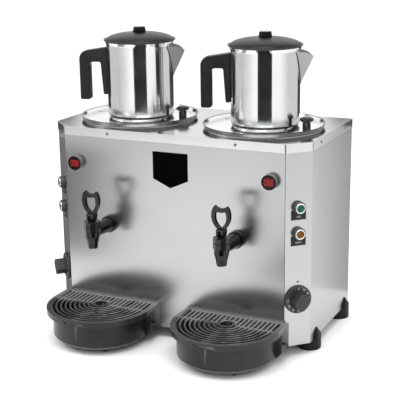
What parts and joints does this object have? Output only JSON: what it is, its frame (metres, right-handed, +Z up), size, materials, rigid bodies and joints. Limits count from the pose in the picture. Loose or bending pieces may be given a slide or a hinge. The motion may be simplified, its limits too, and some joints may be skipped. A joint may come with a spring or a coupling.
{
  "type": "twin tea boiler",
  "caption": "Twin countertop tea boiler: a stainless cabinet with lever taps over drip trays, corner dials and lamps, lidded tanks and a teapot kept hot on each lid.",
  "frame": {"origin": "on the counter, under the middle of the box round the whole appliance", "axes": "+X to the right of someone facing the taps, +Y from the taps towards the back panel, +Z up"},
  "size_m": [0.6194, 0.4946, 0.6578],
  "materials": {
    "brushed_stainless": "brushed",
    "polished_stainless": "mirror polished",
    "tank_stainless": "drawn",
    "moulded_black_plastic": "satin moulded",
    "black_bakelite": "semi-gloss moulded",
    "black_badge": "gloss",
    "green_lens": "clear moulded",
    "amber_lens": "clear moulded",
    "chrome_bezel": "plated",
    "dark_housing": "moulded",
    "display_window": "gloss",
    "sealing_rubber": "matte",
    "cream_terminal": "moulded"
  },
  "bodies": {
    "cabinet": {"amber_lens_left": "amber_lens", "amber_lens_right": "amber_lens", "back_panel": "brushed_stainless", "badge_plate": "black_badge", "base_plate": "brushed_stainless", "cable_gland": "dark_housing", "feet": "moulded_black_plastic", "front_panel": "brushed_stainless", "green_lens_left": "green_lens", "green_lens_right": "green_lens", "heater_left": "tank_stainless", "heater_right": "tank_stainless", "lamp_bezels_left": "chrome_bezel", "lamp_bezels_right": "chrome_bezel", "lamp_labels": "black_badge", "side_panel_left": "brushed_stainless", "side_panel_right": "brushed_stainless", "tank_left": "tank_stainless", "tank_right": "tank_stainless", "tap_body_left": "moulded_black_plastic", "tap_body_right": "moulded_black_plastic", "tap_bonnet_left": "moulded_black_plastic", "tap_bonnet_right": "moulded_black_plastic", "tap_washers": "sealing_rubber", "terminal_block": "cream_terminal", "thermometer_housing_left": "dark_housing", "thermometer_housing_right": "dark_housing", "thermometer_window_left": "display_window", "thermometer_window_right": "display_window", "thermostat_left": "dark_housing", "thermostat_right": "dark_housing", "top_cover": "brushed_stainless"},
    "dial_left": {"dial_left": "black_bakelite", "thermostat_shaft_left": "tank_stainless"},
    "tap_stem_left": {"tap_stem_left": "moulded_black_plastic"},
    "tap_lever_left": {"tap_lever_left": "moulded_black_plastic"},
    "drip_tray_left": {"drip_tray_left": "moulded_black_plastic"},
    "drip_grille_left": {"drip_grille_left": "moulded_black_plastic"},
    "boiler_lid_left": {"boiler_lid_left": "polished_stainless", "lid_knob_left": "black_bakelite"},
    "teapot_left": {"pot_body_left": "polished_stainless", "pot_beak_left": "polished_stainless", "pot_handle_left": "black_bakelite"},
    "teapot_lid_left": {"pot_lid_left": "black_bakelite", "pot_lid_knob_left": "black_bakelite"},
    "dial_right": {"dial_right": "black_bakelite", "thermostat_shaft_right": "tank_stainless"},
    "tap_stem_right": {"tap_stem_right": "moulded_black_plastic"},
    "tap_lever_right": {"tap_lever_right": "moulded_black_plastic"},
    "drip_tray_right": {"drip_tray_right": "moulded_black_plastic"},
    "drip_grille_right": {"drip_grille_right": "moulded_black_plastic"},
    "boiler_lid_right": {"boiler_lid_right": "polished_stainless", "lid_knob_right": "black_bakelite"},
    "teapot_right": {"pot_body_right": "polished_stainless", "pot_beak_right": "polished_stainless", "pot_handle_right": "black_bakelite"},
    "teapot_lid_right": {"pot_lid_right": "black_bakelite", "pot_lid_knob_right": "black_bakelite"}
  },
  "joints": [
    {"name": "dial_turn_left", "type": "hinge", "parent": "cabinet", "child": "dial_left", "pos_m": [-0.27765, -0.05515, 0.127], "axis": [0.7071, 0.7071, 0], "range_deg": [0, 270]},
    {"name": "stem_slide_left", "type": "slide", "parent": "cabinet", "child": "tap_stem_left", "axis": [0, 0, 1], "range_m": [0, 0.004]},
    {"name": "lever_pull_left", "type": "hinge", "parent": "tap_stem_left", "child": "tap_lever_left", "pos_m": [-0.15, -0.1513, 0.2833], "axis": [1, 0, 0], "range_deg": [0, 60], "stiffness_Nm_per_rad": 0.3, "springref_deg": -22.92},
    {"name": "tray_slide_left", "type": "slide", "parent": "cabinet", "child": "drip_tray_left", "axis": [0, -1, 0], "range_m": [0, 0.2]},
    {"name": "grille_lift_left", "type": "slide", "parent": "drip_tray_left", "child": "drip_grille_left", "axis": [0, 0, 1], "range_m": [0, 0.08]},
    {"name": "lid_lift_left", "type": "slide", "parent": "cabinet", "child": "boiler_lid_left", "axis": [0, 0, 1], "range_m": [0, 0.1]},
    {"name": "pot_lift_left", "type": "slide", "parent": "boiler_lid_left", "child": "teapot_left", "axis": [0, 0, 1], "range_m": [0, 0.15]},
    {"name": "pot_lid_lift_left", "type": "slide", "parent": "teapot_left", "child": "teapot_lid_left", "axis": [0, 0, 1], "range_m": [0, 0.08]},
    {"name": "dial_turn_right", "type": "hinge", "parent": "cabinet", "child": "dial_right", "pos_m": [0.27765, -0.05515, 0.127], "axis": [-0.7071, 0.7071, 0], "range_deg": [0, 270]},
    {"name": "stem_slide_right", "type": "slide", "parent": "cabinet", "child": "tap_stem_right", "axis": [0, 0, 1], "range_m": [0, 0.004]},
    {"name": "lever_pull_right", "type": "hinge", "parent": "tap_stem_right", "child": "tap_lever_right", "pos_m": [0.15, -0.1513, 0.2833], "axis": [1, 0, 0], "range_deg": [0, 60], "stiffness_Nm_per_rad": 0.3, "springref_deg": -22.92},
    {"name": "tray_slide_right", "type": "slide", "parent": "cabinet", "child": "drip_tray_right", "axis": [0, -1, 0], "range_m": [0, 0.2]},
    {"name": "grille_lift_right", "type": "slide", "parent": "drip_tray_right", "child": "drip_grille_right", "axis": [0, 0, 1], "range_m": [0, 0.08]},
    {"name": "lid_lift_right", "type": "slide", "parent": "cabinet", "child": "boiler_lid_right", "axis": [0, 0, 1], "range_m": [0, 0.1]},
    {"name": "pot_lift_right", "type": "slide", "parent": "boiler_lid_right", "child": "teapot_right", "axis": [0, 0, 1], "range_m": [0, 0.15]},
    {"name": "pot_lid_lift_right", "type": "slide", "parent": "teapot_right", "child": "teapot_lid_right", "axis": [0, 0, 1], "range_m": [0, 0.08]}
  ],
  "couplings": [
    {"joint": "lever_pull_left", "follows": "stem_slide_left", "rad_per_m": 261.8},
    {"joint": "lever_pull_right", "follows": "stem_slide_right", "rad_per_m": 261.8}
  ]
}
